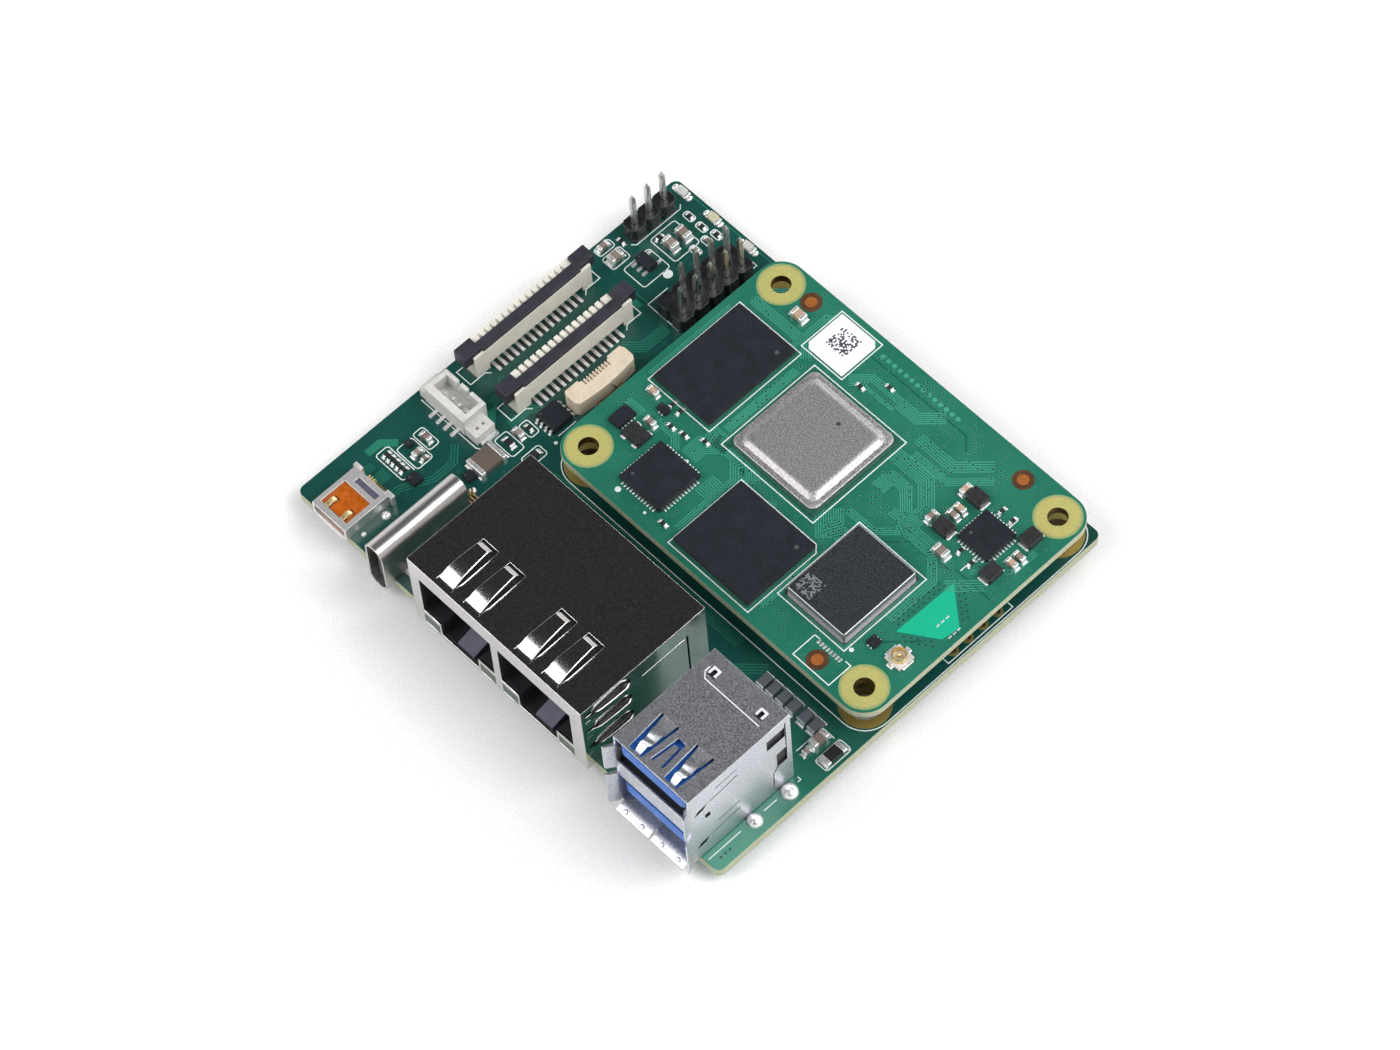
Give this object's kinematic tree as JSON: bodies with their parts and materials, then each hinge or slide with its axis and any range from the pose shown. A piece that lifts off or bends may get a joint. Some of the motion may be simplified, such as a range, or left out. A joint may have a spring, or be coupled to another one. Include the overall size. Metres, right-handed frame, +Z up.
{
  "type": "single board computer",
  "caption": "Green single board computer: a compute module on a carrier board with network, bus, power, display, fan, header and flat cable sockets.",
  "frame": {"origin": "centre of the whole part's footprint at the tips of the solder tails", "axes": "+X along the port edge, to the right when facing the ports, +Y away from the ports, +Z up out of the component side"},
  "size_m": [0.075, 0.0674, 0.0187],
  "materials": {
    "green_board": "satin solder mask",
    "bright_green_board": "satin solder mask",
    "plated_steel": "bright",
    "mirror_steel": "polished",
    "gold_plate": "polished",
    "tinned_metal": "bright",
    "black_plastic": "moulded",
    "grey_plastic": "moulded",
    "blue_plastic": "moulded",
    "amber_plastic": "moulded",
    "ivory_plastic": "moulded",
    "sand_plastic": "moulded",
    "navy_plastic": "moulded",
    "chip_epoxy": "matt",
    "ferrite": "matt",
    "brown_ceramic": "satin",
    "fuse_ceramic": "satin",
    "lamp_resin": "clear",
    "label_paper": "matt"
  },
  "bodies": {
    "carrier": {"carrier_board": "green_board", "ethernet_shield": "mirror_steel", "ethernet_housing": "grey_plastic", "ethernet_contacts": "gold_plate", "ethernet_light_pipes": "lamp_resin", "ethernet_magnetics": "chip_epoxy", "usb_shell": "plated_steel", "usb_housing": "black_plastic", "usb_tongues": "blue_plastic", "usb_contacts": "gold_plate", "power_socket_shell": "plated_steel", "power_socket_core": "black_plastic", "power_socket_contacts": "gold_plate", "display_socket_shell": "plated_steel", "display_socket_core": "amber_plastic", "display_socket_contacts": "gold_plate", "camera_cable_socket": "sand_plastic", "panel_cable_socket": "sand_plastic", "flat_cable_contacts": "tinned_metal", "fan_socket": "ivory_plastic", "fan_pins": "tinned_metal", "ribbon_socket": "sand_plastic", "ribbon_contacts": "gold_plate", "short_header_base": "grey_plastic", "short_header_pins": "gold_plate", "long_header_base": "grey_plastic", "long_header_pins": "gold_plate", "card_socket_base": "black_plastic", "card_socket_cover": "plated_steel", "board_receptacles": "black_plastic", "status_lights": "lamp_resin", "interface_chip": "chip_epoxy", "regulator_chips": "chip_epoxy", "chip_leads": "tinned_metal", "power_fuse": "fuse_ceramic", "filter_chips": "ferrite", "chip_capacitors": "brown_ceramic", "chip_resistors": "ferrite"},
    "compute_module": {"module_board": "bright_green_board", "module_plugs": "black_plastic", "processor_base": "green_board", "processor_lid": "plated_steel", "memory_chip": "chip_epoxy", "storage_chip": "chip_epoxy", "radio_shield": "plated_steel", "radio_frame": "plated_steel", "network_chip": "chip_epoxy", "supply_chip": "chip_epoxy", "power_inductors": "ferrite", "clock_crystal": "plated_steel", "switch_chips": "chip_epoxy", "aerial_socket_base": "ivory_plastic", "aerial_socket_ring": "gold_plate", "module_capacitors": "brown_ceramic", "module_resistors": "ferrite", "module_label": "label_paper"},
    "camera_latch": {"camera_cable_latch": "navy_plastic"},
    "panel_latch": {"panel_cable_latch": "navy_plastic"}
  },
  "joints": [
    {"name": "module_lift", "type": "slide", "parent": "carrier", "child": "compute_module", "axis": [0, 0, 1], "range_m": [0, 0.02]},
    {"name": "camera_latch_lift", "type": "slide", "parent": "carrier", "child": "camera_latch", "axis": [0, 0, 1], "range_m": [0, 0.0018]},
    {"name": "panel_latch_lift", "type": "slide", "parent": "carrier", "child": "panel_latch", "axis": [0, 0, 1], "range_m": [0, 0.0018]}
  ]
}
